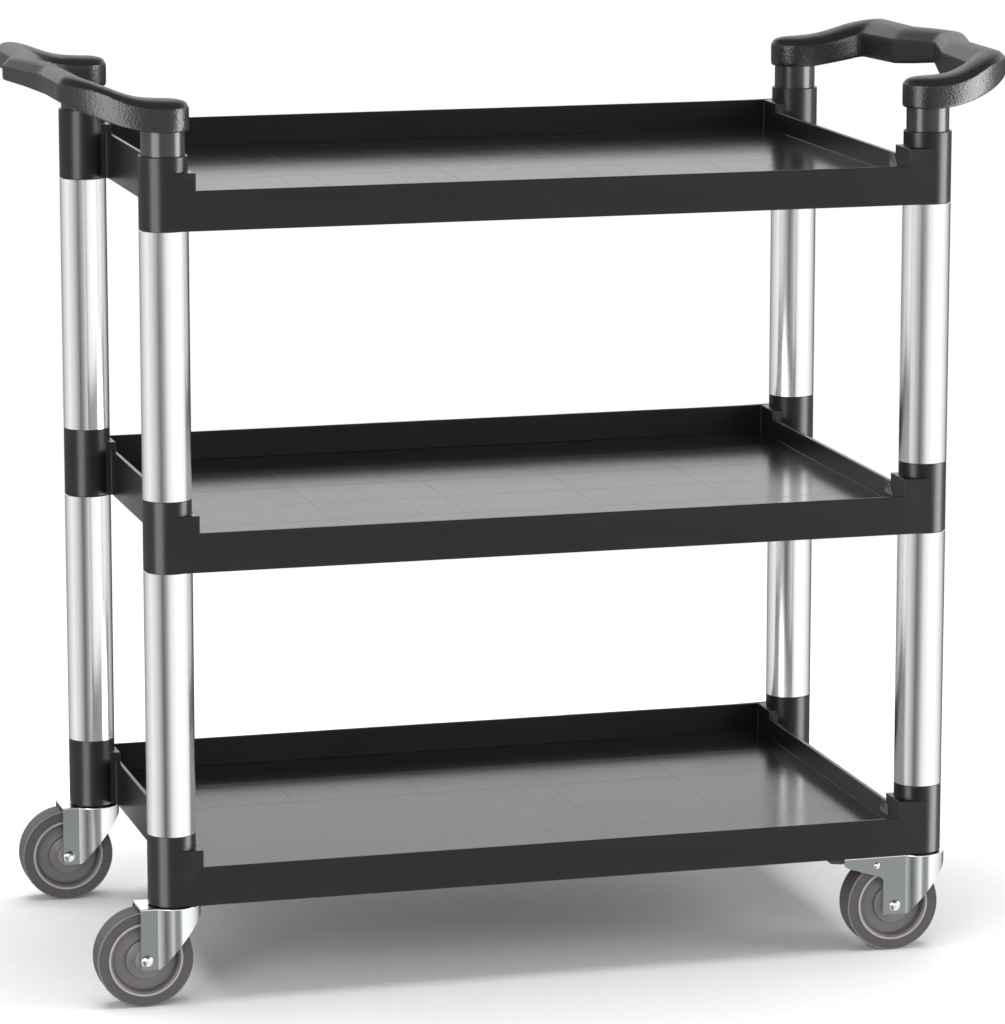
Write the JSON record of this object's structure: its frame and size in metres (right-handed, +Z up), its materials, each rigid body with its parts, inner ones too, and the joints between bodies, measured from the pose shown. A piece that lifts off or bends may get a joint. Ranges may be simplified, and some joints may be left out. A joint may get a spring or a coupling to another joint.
{
  "type": "food service trolley",
  "caption": "Food service trolley with moulded shelves on round aluminium posts, a moulded push handle at each end, and swivel casters with foot brakes at one end.",
  "frame": {"origin": "on the floor under the middle of the cart's overall box", "axes": "+X along the cart towards the braked casters, +Y towards the high rear rim, +Z up"},
  "size_m": [1.0528, 0.4894, 0.9538],
  "materials": {
    "shelf_plastic": "black, semi-gloss, moulded",
    "handle_plastic": "black, fine moulded grain",
    "post_aluminium": "satin anodised",
    "stub_tube": "black gloss coating",
    "fork_steel": "bright zinc plate",
    "bearing_steel": "ground and oiled",
    "fastener_steel": "bright zinc plate",
    "wheel_plastic": "grey, moulded",
    "tread_rubber": "grey thermoplastic rubber",
    "pedal_plastic": "black, moulded"
  },
  "bodies": {
    "cart": {"bottom_shelf": "shelf_plastic", "middle_shelf": "shelf_plastic", "top_shelf": "shelf_plastic", "left_handle": "handle_plastic", "right_handle": "handle_plastic", "lower_tube_left_front": "post_aluminium", "upper_tube_left_front": "post_aluminium", "handle_tube_left_front": "stub_tube", "left_front_stem": "fastener_steel", "left_front_upper_race": "bearing_steel", "lower_tube_left_rear": "post_aluminium", "upper_tube_left_rear": "post_aluminium", "handle_tube_left_rear": "stub_tube", "left_rear_stem": "fastener_steel", "left_rear_upper_race": "bearing_steel", "lower_tube_right_front": "post_aluminium", "upper_tube_right_front": "post_aluminium", "handle_tube_right_front": "stub_tube", "right_front_stem": "fastener_steel", "right_front_upper_race": "bearing_steel", "lower_tube_right_rear": "post_aluminium", "upper_tube_right_rear": "post_aluminium", "handle_tube_right_rear": "stub_tube", "right_rear_stem": "fastener_steel", "right_rear_upper_race": "bearing_steel"},
    "left_front_swivel": {"left_front_fork": "fork_steel", "left_front_bearing_balls": "bearing_steel", "left_front_axle": "fastener_steel", "left_front_axle_nut": "fastener_steel", "left_front_axle_bush": "bearing_steel"},
    "left_front_wheel": {"left_front_wheel_core": "wheel_plastic", "left_front_tyre": "tread_rubber"},
    "left_rear_swivel": {"left_rear_fork": "fork_steel", "left_rear_bearing_balls": "bearing_steel", "left_rear_axle": "fastener_steel", "left_rear_axle_nut": "fastener_steel", "left_rear_axle_bush": "bearing_steel"},
    "left_rear_wheel": {"left_rear_wheel_core": "wheel_plastic", "left_rear_tyre": "tread_rubber"},
    "right_front_swivel": {"right_front_fork": "fork_steel", "right_front_bearing_balls": "bearing_steel", "right_front_axle": "fastener_steel", "right_front_axle_nut": "fastener_steel", "right_front_axle_bush": "bearing_steel", "right_front_brake_pins": "fastener_steel"},
    "right_front_wheel": {"right_front_wheel_core": "wheel_plastic", "right_front_tyre": "tread_rubber"},
    "right_front_brake": {"right_front_brake_pedal": "pedal_plastic"},
    "right_rear_swivel": {"right_rear_fork": "fork_steel", "right_rear_bearing_balls": "bearing_steel", "right_rear_axle": "fastener_steel", "right_rear_axle_nut": "fastener_steel", "right_rear_axle_bush": "bearing_steel", "right_rear_brake_pins": "fastener_steel"},
    "right_rear_wheel": {"right_rear_wheel_core": "wheel_plastic", "right_rear_tyre": "tread_rubber"},
    "right_rear_brake": {"right_rear_brake_pedal": "pedal_plastic"}
  },
  "joints": [
    {"name": "left_front_swivel_turn", "type": "hinge", "parent": "cart", "child": "left_front_swivel", "pos_m": [-0.4038, -0.2157, 0.1045], "axis": [0, 0, 1], "continuous": true},
    {"name": "left_front_wheel_spin", "type": "hinge", "parent": "left_front_swivel", "child": "left_front_wheel", "pos_m": [-0.4348, -0.2157, 0.05], "axis": [0, 1, 0], "continuous": true},
    {"name": "left_rear_swivel_turn", "type": "hinge", "parent": "cart", "child": "left_rear_swivel", "pos_m": [-0.4038, 0.2157, 0.1045], "axis": [0, 0, 1], "continuous": true},
    {"name": "left_rear_wheel_spin", "type": "hinge", "parent": "left_rear_swivel", "child": "left_rear_wheel", "pos_m": [-0.4348, 0.2157, 0.05], "axis": [0, 1, 0], "continuous": true},
    {"name": "right_front_swivel_turn", "type": "hinge", "parent": "cart", "child": "right_front_swivel", "pos_m": [0.4038, -0.2157, 0.1045], "axis": [0, 0, 1], "continuous": true},
    {"name": "right_front_wheel_spin", "type": "hinge", "parent": "right_front_swivel", "child": "right_front_wheel", "pos_m": [0.3728, -0.2157, 0.05], "axis": [0, 1, 0], "continuous": true},
    {"name": "right_front_brake_press", "type": "hinge", "parent": "right_front_swivel", "child": "right_front_brake", "pos_m": [0.3522, -0.2157, 0.095], "axis": [0, -1, 0], "range_deg": [0, 7]},
    {"name": "right_rear_swivel_turn", "type": "hinge", "parent": "cart", "child": "right_rear_swivel", "pos_m": [0.4038, 0.2157, 0.1045], "axis": [0, 0, 1], "continuous": true},
    {"name": "right_rear_wheel_spin", "type": "hinge", "parent": "right_rear_swivel", "child": "right_rear_wheel", "pos_m": [0.3728, 0.2157, 0.05], "axis": [0, 1, 0], "continuous": true},
    {"name": "right_rear_brake_press", "type": "hinge", "parent": "right_rear_swivel", "child": "right_rear_brake", "pos_m": [0.3522, 0.2157, 0.095], "axis": [0, -1, 0], "range_deg": [0, 7]}
  ]
}
